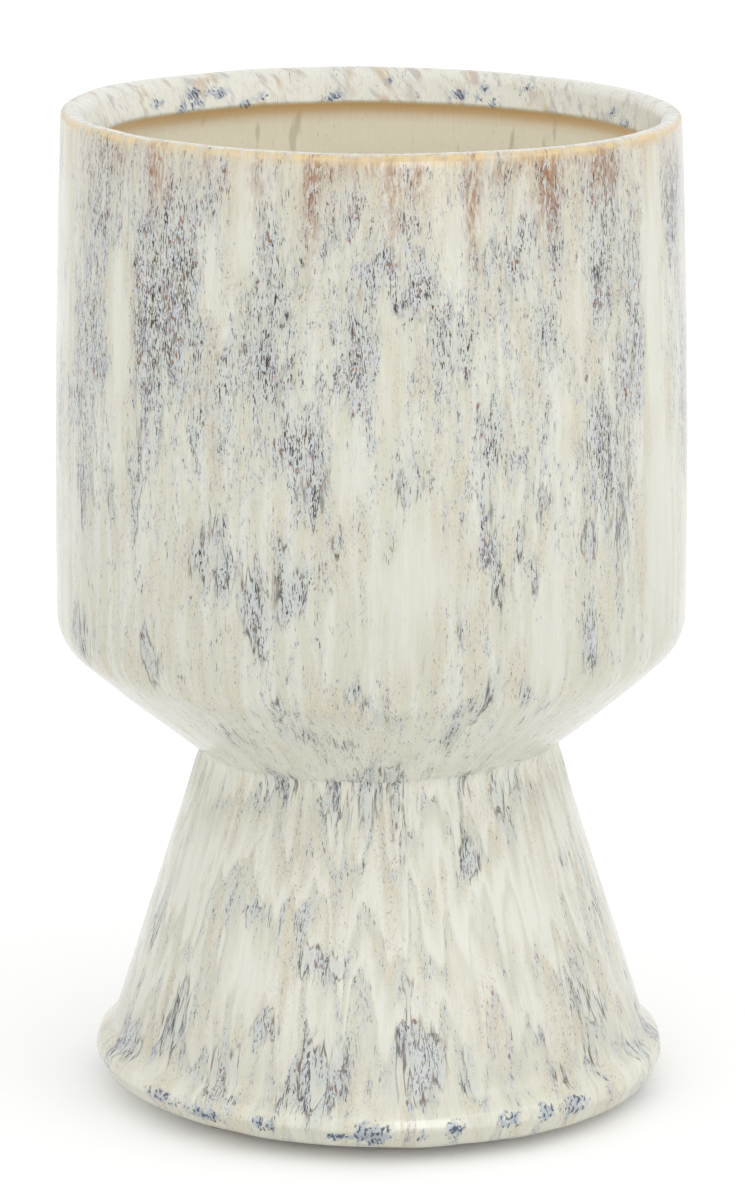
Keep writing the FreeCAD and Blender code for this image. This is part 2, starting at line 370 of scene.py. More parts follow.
pedestal_fall = rim_run + pedestal_run - waist_run
pedestal_outside = (pedestal_run <= ring_run).astype(float)

WIPED = 0.7 * MM
near_waist = smooth_drop(pedestal_run, waist_run + 2 * MM, waist_run + 14 * MM)
wiped = uneven(pedestal_lengths, across=8, along=12, seed=21.3) * WIPED * near_waist * pedestal_outside

FOOT_ROLL = 0.7 * MM
near_foot = smooth_rise(pedestal_run, pedestal_marks["bead"], pedestal_marks["bead_low"])
near_foot *= smooth_drop(pedestal_run, pedestal_marks["bead_low"], ring_run)
foot_roll = uneven(pedestal_lengths, across=11, along=60, seed=5.7) * FOOT_ROLL * near_foot
away_from_waist = smooth_rise(pedestal_run, waist_run, waist_run + 20 * MM)
pedestal_wobble = uneven(pedestal_lengths, across=60, along=90, seed=3.1) * OUT_OF_ROUND
pedestal_wobble *= pedestal_outside * away_from_waist

FOOT_SLANT = math.radians(-0.9)
FOOT_HEIGHTS = (PAD_HEIGHT, BEAD_LOW_HEIGHT, BEAD_TOP_HEIGHT, BEAD_TOP_HEIGHT + 15 * MM)
pedestal_rise = slant(pedestal_points, WAIST_SLANT, WAIST_HEIGHTS, (0, 1, 0))
pedestal_rise += slant(pedestal_points, FOOT_SLANT, FOOT_HEIGHTS, (0, 1, 0.2, 0))
pedestal_push = pedestal_wobble + foot_roll + wiped
pedestal_lift = foot_roll + pedestal_rise * pedestal_outside
pedestal_ware = lathe_mesh("pedestal_ware", pedestal_points, pedestal_push, pedestal_lift)
print("pedestal:", len(pedestal_ware.data.vertices), "points")

# %% [markdown]
# ## Where the glaze lies
# A reactive glaze is several glazes that run into each other in the kiln. Where the pale top glaze parts
# it shows blue-grey patches full of dark dashes, where it is thick it runs down in clear cream drips, and
# at the foot and along the lip it gathers in blue pools. The ones that face the camera are listed in
# pixels of the photograph, and a ray through each finds its place on the ware. The rest of the ware
# gets seeded patches of the same kind.

# %% Patches, clear drips and pools that face the camera
# Each one is: x, y, half width, half height, strength.
UPPER_BOWL = [
    (108, 170, 20, 45, 0.55), (105, 228, 15, 25, 0.35), (165, 212, 22, 40, 0.5), (170, 265, 24, 35, 0.8),
    (178, 292, 22, 40, 0.9), (163, 340, 26, 35, 0.85), (150, 385, 18, 30, 0.55), (142, 300, 10, 60, 0.6),
    (210, 195, 20, 30, 0.4), (86, 300, 12, 50, 0.4), (92, 352, 14, 38, 0.6), (76, 392, 10, 30, 0.5),
    (195, 430, 6, 16, 0.55), (265, 228, 12, 40, 0.4), (266, 292, 22, 42, 0.45), (262, 375, 20, 45, 0.75),
    (215, 372, 14, 50, 0.35), (290, 440, 13, 24, 0.8), (310, 452, 13, 42, 0.65), (312, 500, 6, 20, 0.7),
    (315, 180, 11, 26, 0.5), (352, 203, 9, 20, 0.55), (332, 240, 10, 24, 0.3), (382, 270, 15, 22, 0.7),
    (402, 296, 9, 14, 0.7), (423, 280, 13, 20, 0.85), (405, 225, 9, 16, 0.5), (357, 350, 18, 50, 0.6),
    (364, 392, 14, 24, 0.5), (440, 338, 16, 44, 0.5), (467, 345, 8, 16, 0.55), (415, 180, 7, 22, 0.45),
    (470, 176, 7, 18, 0.6), (480, 250, 10, 22, 0.4), (505, 176, 10, 18, 0.4), (546, 180, 10, 22, 0.75),
    (556, 220, 8, 38, 0.65), (515, 246, 22, 28, 0.45), (586, 182, 9, 28, 0.4), (605, 176, 11, 38, 0.65),
    (606, 208, 8, 16, 0.6), (632, 262, 12, 44, 0.5), (600, 272, 13, 52, 0.5), (592, 296, 7, 14, 0.5),
    (671, 182, 7, 44, 0.55), (640, 338, 11, 32, 0.55), (632, 374, 10, 36, 0.5), (570, 372, 10, 24, 0.4),
    (545, 325, 14, 24, 0.45), (494, 435, 9, 26, 0.75), (515, 458, 7, 9, 0.6), (600, 440, 13, 38, 0.7),
    (607, 472, 7, 18, 0.5), (622, 500, 9, 80, 0.4), (410, 482, 13, 24, 0.45),
]
LOWER_BOWL = [
    (85, 482, 8, 52, 0.5), (110, 490, 5, 30, 0.3), (135, 482, 6, 42, 0.5), (80, 626, 10, 26, 0.5),
    (150, 650, 7, 26, 0.55), (200, 560, 9, 24, 0.65), (218, 532, 6, 24, 0.7), (223, 576, 8, 24, 0.8),
    (248, 588, 8, 24, 0.8), (258, 622, 10, 32, 0.8), (280, 566, 5, 28, 0.8), (286, 606, 10, 18, 0.7),
    (300, 582, 6, 22, 0.9), (318, 572, 5, 20, 0.45), (340, 552, 6, 20, 0.7), (390, 530, 6, 22, 0.35),
    (425, 655, 6, 14, 0.45), (460, 645, 6, 22, 0.45), (485, 522, 5, 34, 0.45), (490, 556, 8, 18, 0.6),
    (500, 586, 9, 24, 0.65), (520, 552, 5, 28, 0.6), (536, 572, 5, 18, 0.7), (590, 536, 7, 20, 0.6),
    (575, 552, 5, 18, 0.45), (540, 500, 8, 18, 0.35), (590, 636, 9, 30, 0.75), (528, 690, 9, 12, 0.65),
    (546, 700, 8, 10, 0.5), (355, 690, 14, 14, 0.38), (280, 710, 14, 14, 0.38), (302, 735, 18, 9, 0.42),
    (340, 742, 12, 7, 0.38), (232, 736, 15, 9, 0.35), (390, 715, 14, 14, 0.35), (450, 735, 8, 14, 0.6),
    (480, 706, 10, 15, 0.45),
]
PEDESTAL = [
    (285, 782, 12, 14, 0.6), (265, 790, 8, 20, 0.3), (332, 802, 9, 22, 0.95), (400, 800, 6, 45, 0.45),
    (465, 775, 10, 12, 0.4), (515, 782, 10, 14, 0.4), (498, 802, 7, 24, 0.6), (365, 800, 16, 30, 0.6),
    (425, 806, 12, 26, 0.55), (385, 775, 14, 12, 0.55),
    (250, 912, 9, 11, 0.75), (236, 888, 7, 26, 0.2), (465, 846, 5, 24, 0.55), (472, 866, 9, 18, 0.85),
    (565, 857, 8, 12, 0.45), (450, 896, 12, 14, 0.35), (300, 930, 6, 22, 0.4), (310, 966, 15, 13, 0.85),
    (340, 976, 13, 14, 0.65), (410, 985, 10, 12, 0.35), (182, 1000, 14, 30, 0.3), (170, 1036, 15, 24, 0.6),
    (130, 1046, 14, 20, 0.6), (265, 1034, 15, 16, 0.55), (290, 1098, 14, 14, 0.58), (320, 1082, 20, 32, 0.6),
    (306, 1058, 6, 28, 0.55), (340, 1084, 8, 24, 0.6), (215, 1076, 11, 28, 0.45), (233, 1080, 8, 28, 0.35),
    (405, 1042, 14, 34, 0.55), (430, 1062, 15, 30, 0.68), (415, 1090, 16, 18, 0.58), (468, 1080, 7, 24, 0.5),
    (480, 1005, 12, 14, 0.25), (580, 986, 15, 32, 0.34), (600, 1012, 10, 18, 0.45), (590, 1050, 8, 18, 0.45),
    (545, 1036, 6, 14, 0.4), (638, 1050, 10, 18, 0.7), (560, 1076, 10, 16, 0.4),
]
CLEAR_DRIPS_AND_REFLECTION = [
    (242, 215, 10, 60, 0.7), (120, 320, 11, 90, 0.5), (210, 290, 9, 45, 0.5), (480, 212, 9, 24, 0.5),
    (578, 300, 9, 45, 0.5), (565, 400, 9, 40, 0.4), (653, 290, 8, 140, 0.6), (66, 260, 6, 110, 0.5),
    (415, 570, 40, 50, 0.45), (400, 655, 45, 28, 0.2), (548, 645, 20, 45, 0.5), (452, 250, 8, 50, 0.4),
    # The pale drips at x 520, y 915 and x 462, y 950 are partly a painted reflection of a lamp on the
    # pedestal's cone.
    (390, 400, 8, 70, 0.35), (345, 470, 9, 60, 0.4), (520, 915, 45, 45, 0.35), (462, 950, 14, 50, 0.5),
    (386, 1020, 8, 40, 0.5), (240, 975, 12, 28, 0.4), (195, 860, 16, 60, 0.4), (430, 830, 12, 40, 0.4),
    (662, 520, 14, 110, 0.5),
]
POOLS = [
    (372, 1136, 18, 9, 1.0), (338, 1138, 12, 9, 0.9), (455, 1130, 8, 9, 0.9), (262, 1126, 10, 6, 0.7),
    (205, 1116, 16, 5, 0.8), (160, 1098, 16, 5, 0.8), (510, 1122, 12, 8, 0.6), (575, 1105, 12, 9, 0.8),
    (545, 1114, 10, 8, 0.7), (420, 1138, 8, 6, 0.6), (217, 93, 9, 4, 0.9), (193, 95, 6, 5, 0.9),
    (158, 105, 6, 4, 0.7), (332, 97, 8, 3, 0.8), (388, 82, 4, 6, 0.5), (419, 97, 3, 4, 0.9),
    (458, 96, 8, 3, 0.9), (484, 88, 4, 6, 0.8), (614, 113, 4, 6, 0.8), (527, 88, 8, 4, 0.4),
    (262, 97, 8, 3, 0.5),
]

RUST_SPOTS = [
    (158, 148, 10, 13, 0.9), (120, 152, 8, 14, 0.5), (205, 155, 8, 10, 0.4), (255, 160, 8, 12, 0.4),
    (312, 168, 9, 18, 0.9), (332, 163, 14, 8, 0.6), (365, 165, 12, 10, 0.6), (393, 168, 10, 16, 0.7),
    (417, 174, 6, 20, 0.8), (472, 172, 8, 22, 0.9), (500, 167, 10, 12, 0.6), (522, 162, 12, 10, 0.6),
    (548, 168, 12, 26, 1.0), (576, 160, 10, 12, 0.6), (600, 162, 10, 20, 0.7), (612, 166, 6, 14, 0.6),
]


def spot_on_ware(x, y):
    """Angle and fall on the ware, in radians and metres, seen at a pixel; None where the ray misses."""
    seen = []
    for piece, fall in ((bowl_ware, bowl_fall), (pedestal_ware, pedestal_fall)):
        hit, place, _, face = piece.ray_cast(camera.location, ray_through(x, y))
        if hit:
            row = piece.data.polygons[face].vertices[0] // SEGMENTS
            distance = (place - camera.location).length
            seen.append((distance, math.atan2(place.y, place.x), float(fall[row, 0])))
    return min(seen)[1:] if seen else None


LEAST_HALF_FALL = 1.5 * MM


def place_on_ware(spots):
    """Turn places in the photograph into angles, falls and half sizes on the ware."""
    placed = []
    for x, y, half_width, half_height, strength in spots:
        middle = spot_on_ware(x, y)
        side = spot_on_ware(x + half_width if x < IMAGE_WIDTH / 2 else x - half_width, y)
        ends = [spot_on_ware(x, y - half_height) or middle, spot_on_ware(x, y + half_height) or middle]
        if middle is None or side is None:
            print("off the ware:", x, y)
            continue
        half_angle = abs((side[0] - middle[0] + math.pi) % (2 * math.pi) - math.pi)
        half_fall = max(abs(ends[1][1] - ends[0][1]) / 2, LEAST_HALF_FALL)
        placed.append((middle[0], middle[1], half_angle, half_fall, strength))
    return placed


patches = place_on_ware(UPPER_BOWL + LOWER_BOWL + PEDESTAL)
drips_and_reflection = place_on_ware(CLEAR_DRIPS_AND_REFLECTION)
pools = place_on_ware(POOLS)
rust_spots = place_on_ware(RUST_SPOTS)
print("placed by eye:", len(patches), "patches,", len(drips_and_reflection), "drips,", len(pools), "pools")

# %% Patches, drips and pools on the sides that face away
FRONT_ANGLE = -math.pi / 2
SEEN_HALF_ANGLE = math.radians(70)
LIP_FALL = rim_run - lip_run
FOOT_FALL = rim_run + pedestal_marks["bead_low"] - waist_run
draw = random.Random(11)


def scatter_away(count, highest, lowest, half_width, half_length, strength):
    """Seeded places on the part of the ware that the camera doesn't see; half sizes are in millimetres."""
    spots = []
    for _ in range(count):
        angle = FRONT_ANGLE + draw.uniform(SEEN_HALF_ANGLE, 2 * math.pi - SEEN_HALF_ANGLE)
        spots.append((angle, draw.uniform(highest, lowest), draw.uniform(*half_width) / FLOW_RADIUS,
                      draw.uniform(*half_length) * MM, draw.uniform(*strength)))
    return spots


patches += scatter_away(70, 4 * MM, 90 * MM, (2.5, 7), (6, 16), (0.4, 0.9))
patches += scatter_away(75, 80 * MM, 160 * MM, (1.2, 2.8), (5, 12), (0.45, 0.85))
patches += scatter_away(24, 162 * MM, 208 * MM, (2.5, 5), (3, 5), (0.35, 0.6))
patches += scatter_away(45, 210 * MM, FOOT_FALL, (2, 5), (4, 11), (0.4, 0.8))
drips_and_reflection += scatter_away(30, 10 * MM, FOOT_FALL, (2.5, 5), (14, 30), (0.4, 0.6))
pools += scatter_away(16, FOOT_FALL - 2 * MM, FOOT_FALL + 3 * MM, (2, 4.5), (2, 3), (0.6, 1.0))
pools += scatter_away(10, LIP_FALL, LIP_FALL + 3 * MM, (1.5, 4), (1.5, 2), (0.5, 0.9))
rust_spots += scatter_away(16, 1 * MM, 6 * MM, (2, 4), (3, 7), (0.5, 0.9))
print("with the far side:", len(patches), "patches,", len(drips_and_reflection), "drips,", len(pools), "pools")

# %% Add them up on the points of the ware
SPOT_FADE = 0.9


def soft_sum(spots, fall, sway=0.0, drift=0.0):
    """Join soft spots into one field from 0 to 1; sway and drift push it down and round for ragged edges."""
    angles = ring_angles() + drift
    open_share = np.ones((len(fall), SEGMENTS))
    for angle, middle, half_angle, half_fall, strength in spots:
        turn = (angles - angle + math.pi) % (2 * math.pi) - math.pi
        spread = (turn / half_angle) ** 2 + ((fall + sway - middle) / half_fall) ** 2
        open_share *= 1 - strength * np.exp(-SPOT_FADE * spread)
    return 1 - open_share


RAGGED = 7 * MM
PEDESTAL_RAGGED = 3.5 * MM
DRIFT = 2.4 / FLOW_RADIUS
HIGH_HAZE = 0.26
LOW_HAZE = 0.10
DRIP_STRENGTH = 1.3


def glaze_density(lengths, fall, ragged):
    """Density of the dashes: a faint haze and the patches, less the clear drips and a painted reflection."""
    sway = uneven(lengths, across=2.6, along=45, seed=17.3) * ragged
    drift = uneven(lengths, across=7, along=13, seed=27.1) * DRIFT
    haze = LOW_HAZE + (HIGH_HAZE - LOW_HAZE) * smooth_drop(fall, 80 * MM, 125 * MM)
    clear = DRIP_STRENGTH * soft_sum(drips_and_reflection, fall, sway, drift)
    return haze + soft_sum(patches, fall, sway, drift) - clear


# %% Store the flow and the zones on the bowl and the pedestal
def flow_attribute(piece, fall, radius):
    """Store the way round the ware and down it, in millimetres."""
    angles = ring_angles()
    point_attribute(piece, "glaze_flow", radius * np.cos(angles), radius * np.sin(angles), fall / MM)


PEDESTAL_FLOW_RADIUS = 76.0
flow_attribute(bowl_ware, bowl_fall, FLOW_RADIUS)
flow_attribute(pedestal_ware, pedestal_fall, PEDESTAL_FLOW_RADIUS)

bowl_inside = smooth_rise(bowl_run, lip_run - 0.3 * MM, lip_run + 1.2 * MM)
on_lip = smooth_rise(bowl_run, rim_run, rim_run + 1.5 * MM)
rim_edge = smooth_rise(bowl_run, rim_run - 2.1 * MM, rim_run - 1.2 * MM)
rim_edge *= smooth_drop(bowl_run, rim_run + 0.3 * MM, rim_run + 1.2 * MM)
# Under the lip: thin glaze breaking to tan, partly painted shade under the overhang.
under_lip = smooth_rise(bowl_run, lip_run - 0.5 * MM, lip_run + 1 * MM)
under_lip *= smooth_drop(bowl_run, lip_run + 2 * MM, bowl_marks["undercut"] + 1.5 * MM)
rust = soft_sum(rust_spots, bowl_fall) * (1 - on_lip)
bowl_density = glaze_density(bowl_lengths, bowl_fall, RAGGED) * (1 - on_lip)
point_attribute(bowl_ware, "glaze_zone", bowl_density, rim_edge + under_lip, soft_sum(pools, bowl_fall))
point_attribute(bowl_ware, "glaze_side", bowl_inside, 0.0, rust)

bare = smooth_rise(pedestal_run, ring_run - 1.5 * MM, ring_run)
pedestal_density = glaze_density(pedestal_lengths, pedestal_fall, PEDESTAL_RAGGED) * pedestal_outside
point_attribute(pedestal_ware, "glaze_zone", pedestal_density, 0.0, soft_sum(pools, pedestal_fall))
point_attribute(pedestal_ware, "glaze_side", 0.0, bare, 0.0)
print("mean density of the dashes on the bowl:", round(float(bowl_density.mean()), 3))

# %% [markdown]
# ## An unwrapping for the glaze
# The glaze needs no UV map here, but a baked copy of it does. The outside is cut into two half turns,
# laid one above the other, and takes most of the square. The inside takes the strip that is left.


# %% Unwrap the turned pieces
def unwrap(piece, run, outside_end, split):
    """Lay the outside as two half turns in the left part of the square, and the rest in the right part."""
    layer = piece.data.uv_layers.new(name="OFBake")
    rows = len(run)
    margin = 0.006
    length_at = np.append(run, run[-1] + 1 * MM)
    last = int(np.searchsorted(length_at, outside_end))
    face_row = np.repeat(np.arange(rows), SEGMENTS)[:, None]
    face_column = np.tile(np.arange(SEGMENTS), rows)[:, None]
    length = length_at[face_row + np.array([0, 0, 1, 1])]
    column = face_column + np.array([0, 1, 1, 0])
    outer = face_row < last
    face_half = (face_column >= SEGMENTS // 2).astype(float)
    half_turn = (column - face_half * SEGMENTS / 2) / (SEGMENTS / 2)
    outer_share = length / length_at[last]
    inner_share = (length - length_at[last]) / (length_at[-1] - length_at[last])
    half_height = 0.5 - 1.5 * margin
    outer_u = margin + half_turn * (split - 2 * margin)
    outer_v = margin + face_half * (half_height + margin) + outer_share * half_height
    inner_u = split + margin + inner_share * (1 - split - 2 * margin)
    inner_v = margin + column / SEGMENTS * (1 - 2 * margin)
    places = np.stack([np.where(outer, outer_u, inner_u), np.where(outer, outer_v, inner_v)], axis=2)
    layer.data.foreach_set("uv", places.reshape(-1).astype(np.float32))


unwrap(bowl_ware, bowl_run, bowl_marks["undercut"], split=0.64)
unwrap(pedestal_ware, pedestal_run, ring_run, split=0.74)
print("unwrapped:", bowl_ware.name, "and", pedestal_ware.name)

# %% [markdown]
# ## Helpers for shader nodes
# A material is a graph of nodes. Adding and wiring nodes one by one is slow to read, so these short
# helpers add one node, set or wire its inputs by name, and hand back the output that is needed next.


# %% Node helpers
def srgb(red, green, blue):
    """A colour as it looks on screen, 0 to 255, turned into the linear values that shaders use."""
    def linear(value):
        share = value / 255
        return share / 12.92 if share <= 0.04045 else ((share + 0.055) / 1.055) ** 2.4
    return (linear(red), linear(green), linear(blue), 1.0)


def set_input(tree, socket, value):
    """Wire a socket to another node's output, or set its plain value."""
    if isinstance(value, bpy.types.NodeSocket):
        tree.links.new(value, socket)
    else:
        socket.default_value = value


def add_node(tree, kind, settings=None, **inputs):
    """Add a node, with its settings, and its inputs by name; underscores stand for spaces."""
    node = tree.nodes.new(kind)
    for name, value in (settings or {}).items():
        setattr(node, name, value)
    for name, value in inputs.items():
        set_input(tree, node.inputs[name.replace("_", " ")], value)
    return node


def math_node(tree, operation, *values):
    node = add_node(tree, "ShaderNodeMath", {"operation": operation})
    for socket, value in zip(node.inputs, values):
        set_input(tree, socket, value)
    return node.outputs[0]


def times(tree, first, second):
    return math_node(tree, "MULTIPLY", first, second)


def vector_node(tree, operation, *values, scale=None):
    node = add_node(tree, "ShaderNodeVectorMath", {"operation": operation})
    for socket, value in zip(node.inputs, values):
        set_input(tree, socket, value)
    if scale is not None:
        set_input(tree, node.inputs["Scale"], scale)
    return node.outputs["Vector"]


def ramp(tree, value, low, high, start=0.0, end=1.0):
    """A soft rise from start to end, while the value goes from low to high."""
    node = add_node(tree, "ShaderNodeMapRange", {"interpolation_type": "SMOOTHSTEP"}, Value=value,
                    From_Min=low, From_Max=high, To_Min=start, To_Max=end)
    return node.outputs["Result"]


def mix_colour(tree, factor, first, second):
    node = add_node(tree, "ShaderNodeMix", {"data_type": "RGBA"}, Factor=factor)
    colours = [socket for socket in node.inputs if socket.type == "RGBA"]
    set_input(tree, colours[0], first)
    set_input(tree, colours[1], second)
    return next(socket for socket in node.outputs if socket.type == "RGBA")


def set_stops(node, stops):
    """Give a colour ramp its grey stops, each a place and a level."""
    elements = node.color_ramp.elements
    while len(elements) < len(stops):
        elements.new(0.5)
    for element, (place, level) in zip(elements, stops):
        element.position = place
        element.color = (level, level, level, 1.0)


def new_material(name):
    """A material with one Principled shader, given back with its tree and that shader."""
    material = bpy.data.materials.new(name)
    material.use_nodes = True
    tree = material.node_tree
    return material, tree, tree.nodes["Principled BSDF"]


def add_bump(tree, shader, height, strength, distance):
    """Give a shader a fine relief from a height between 0 and 1; the distance is in metres."""
    bump = add_node(tree, "ShaderNodeBump", Height=height, Strength=strength, Distance=distance)
    tree.links.new(bump.outputs["Normal"], shader.inputs["Normal"])


# %% [markdown]
# ## Streaks that follow the flow
# Every layer of this glaze is a cloudy noise, pulled long in the direction in which the glaze ran.
# That is one effect with different sizes, so it is a node group: it takes the flow attribute, a width
# and a length in millimetres, and puts out one value. The seed moves the cloud to a fresh place.


# %% The streak group
def number_sockets(group, defaults):
    """Give a node group its number inputs and one value as its output."""
    for name, value in defaults:
        socket = group.interface.new_socket(name, in_out="INPUT", socket_type="NodeSocketFloat")
        socket.default_value = value
    group.interface.new_socket("Value", in_out="OUTPUT", socket_type="NodeSocketFloat")


def make_streak_group():
    group = bpy.data.node_groups.new("glaze_streaks", "ShaderNodeTree")
    group.interface.new_socket("Flow", in_out="INPUT", socket_type="NodeSocketVector")
    number_sockets(group, (("Width", 1.0), ("Length", 10.0), ("Detail", 2.0), ("Seed", 0.0)))
    given = group.nodes.new("NodeGroupInput").outputs
    result = group.nodes.new("NodeGroupOutput")
    size = add_node(group, "ShaderNodeCombineXYZ", X=given["Width"], Y=given["Width"], Z=given["Length"])
    shift = add_node(group, "ShaderNodeCombineXYZ", X=given["Seed"], Y=given["Seed"], Z=given["Seed"])
    shrunk = vector_node(group, "DIVIDE", given["Flow"], size.outputs["Vector"])
    moved = vector_node(group, "ADD", shrunk, shift.outputs["Vector"])
    cloud = add_node(group, "ShaderNodeTexNoise", Vector=moved, Scale=1.0, Detail=given["Detail"])
    group.links.new(cloud.outputs[0], result.inputs["Value"])
    return group


STREAK_GROUP = make_streak_group()

# Each layer of the glaze: width and length of its streaks in millimetres, detail, seed.
LAYERS = {
    "runs": (3.4, 60.0, 3.0, 1.0),
    "sand": (6.5, 28.0, 3.0, 14.0),
    "stain": (4.5, 16.0, 2.0, 19.0),
    "curtain_tongues": (6.5, 40.0, 1.0, 101.0),
    "curtain_fray": (1.8, 4.0, 3.0, 103.0),
    "fingers": (2.6, 10.0, 3.0, 23.0),
    "wisps": (1.1, 3.2, 2.0, 37.0),
    "veil_tint": (3.5, 12.0, 1.0, 41.0),
    "veil_clouds": (1.4, 6.0, 2.0, 43.0),
    "veil_fibres": (0.45, 4.0, 2.0, 47.0),
    "flame_tongues": (2.6, 20.0, 1.5, 83.0),
    "flame_gaps": (1.0, 5.0, 2.0, 71.0),
    "flame_tint": (1.6, 5.0, 1.0, 91.0),
    "short_dashes": (0.33, 1.4, 2.0, 5.0),
    "long_dashes": (0.36, 3.4, 2.0, 67.0),
    "brown_dashes": (1.6, 6.0, 2.0, 7.0),
    "pale_dashes": (1.0, 3.0, 1.0, 53.0),
    "iron_clusters": (5.0, 13.0, 2.0, 31.0),
    "iron_blots": (0.85, 2.1, 1.5, 29.0),
    "pepper": (0.27, 1.2, 2.0, 59.0),
    "rim_lumps": (9.0, 9.0, 2.0, 6.0),
    "rust_flecks": (0.9, 3.6, 3.0, 8.0),
    "rim_edge": (3.0, 4.0, 3.0, 9.0),
    "lip_strokes": (2.8, 9.0, 4.0, 61.0),
    "lip_lumps": (8.0, 9.0, 1.0, 62.0),
    "lip_tint": (6.0, 12.0, 1.0, 63.0),
    "pool_ripples": (2.2, 2.2, 3.0, 10.0),
    "pool_strokes": (0.9, 1.5, 3.0, 97.0),
    "grain": (0.38, 8.0, 2.0, 12.0),
    "clay": (1.2, 1.2, 4.0, 13.0),
}


def streaks(tree, flow, layer):
    """Place the streak group with the sizes of one layer."""
    width, length, detail, seed = LAYERS[layer]
    node = add_node(tree, "ShaderNodeGroup", {"node_tree": STREAK_GROUP}, Flow=flow, Width=width,
                    Length=length, Detail=detail, Seed=seed)
    return node.outputs["Value"]


def swing(tree, flow, layer):
    """The streaks of a layer, centred on zero."""
    return math_node(tree, "SUBTRACT", streaks(tree, flow, layer), 0.5)


print("layers of streaks:", len(LAYERS))

# %% [markdown]
# ## The ground of the glaze
# The ground is a warm cream with paler runs and sandy places where it lies thin. A slow sideways
# wander keeps the runs from being ruler-straight, and a fine upright grain breaks up the flat colour.

# %% Ground
CREAM = srgb(211, 209, 192)
WHITE_RUN = srgb(220, 220, 209)
HEM_WHITE = srgb(227, 227, 218)
SAND = srgb(207, 198, 177)
SMUDGE = srgb(185, 184, 172)
# The inside is a warmer cream, painted lighter than the outside to lift the shade inside the bowl.
INSIDE_CREAM_PAINTED_LIGHTER = srgb(236, 230, 211)
INSIDE_STAIN = srgb(160, 150, 128)
LIP_CREAM = srgb(228, 227, 217)


ZONES = {"glaze_zone": ("density", "thin_glaze_and_lip_shade", "pool"), "glaze_side": ("inside", "bare", "rust")}


def read_masks(tree):
    """The zones stored on the points, each under its own name, and zones by the fall in millimetres.

    The bowl's lower edge lies at a fall of about 160, the waist at about 210 and the foot at about 310.
    """
    masks = {}
    for attribute, names in ZONES.items():
        source = add_node(tree, "ShaderNodeAttribute", {"attribute_name": attribute})
        parts = add_node(tree, "ShaderNodeSeparateXYZ", Vector=source.outputs["Vector"])
        masks.update(zip(names, parts.outputs))
    masks["outside"] = math_node(tree, "SUBTRACT", 1.0, masks["inside"])
    flow = add_node(tree, "ShaderNodeAttribute", {"attribute_name": "glaze_flow"}).outputs["Vector"]
    fall = add_node(tree, "ShaderNodeSeparateXYZ", Vector=flow).outputs["Z"]
    masks["fall"] = fall
    masks["low"] = ramp(tree, fall, 70.0, 120.0, 0.3, 1.0)
    masks["lip"] = times(tree, ramp(tree, fall, 0.0, -1.5), masks["outside"])
    masks["underside"] = times(tree, ramp(tree, fall, 158.0, 172.0), ramp(tree, fall, 216.0, 206.0))
    masks["pedestal"] = ramp(tree, fall, 165.0, 235.0)
    return masks


# Painted light and shade, as a share of the colour at a fall in mm: darker on the lower bowl, on the
# pedestal's top under the bowl and at the foot, lighter on the bowl's underside and the bead's lower edge.
PAINTED_SHADING_LEVELS = ((90, 1.0), (135, 0.955), (152, 0.945), (161, 1.12), (206, 1.17), (212, 1.03),
         (220, 0.93), (242, 0.96), (280, 0.97), (298, 0.92), (309, 1.05))
TONE_FALL = 320.0
TONE_TOP = 1.2


def painted_shading(tree, masks):
    """The painted light and shade at each fall, as one value."""
    levels = add_node(tree, "ShaderNodeValToRGB", Fac=math_node(tree, "DIVIDE", masks["fall"], TONE_FALL))
    set_stops(levels, [(fall / TONE_FALL, level / TONE_TOP) for fall, level in PAINTED_SHADING_LEVELS])
    return times(tree, levels.outputs["Color"], TONE_TOP)


WANDER_RATE = (1 / 14, 1 / 14, 1 / 34)
WANDER_PUSH = (3.2, 3.2, 12.0)


def wandering_flow(tree):
    """The flow, pushed slowly to and fro."""
    flow = add_node(tree, "ShaderNodeAttribute", {"attribute_name": "glaze_flow"}).outputs["Vector"]
    slow = vector_node(tree, "MULTIPLY", flow, WANDER_RATE)
    cloud = add_node(tree, "ShaderNodeTexNoise", Vector=slow, Scale=1.0, Detail=1.0)
    centred = vector_node(tree, "SUBTRACT", cloud.outputs["Color"], (0.5, 0.5, 0.5))
    push = vector_node(tree, "MULTIPLY", centred, WANDER_PUSH)
    return vector_node(tree, "ADD", flow, push)


CURTAIN = 36.0
TONGUE_REACH = 2.6
FRAY_REACH = 0.34


def glaze_curtains(tree, flow):
    """Place within a curtain of glaze, from 0 just below one ragged edge to 1 at the next edge down."""
    tongue = swing(tree, flow, "curtain_tongues")
    fray = swing(tree, flow, "curtain_fray")
    fall = add_node(tree, "ShaderNodeSeparateXYZ", Vector=flow).outputs["Z"]
    place = math_node(tree, "MULTIPLY_ADD", tongue, TONGUE_REACH, math_node(tree, "DIVIDE", fall, CURTAIN))
    return math_node(tree, "FRACT", math_node(tree, "MULTIPLY_ADD", fray, FRAY_REACH, place))


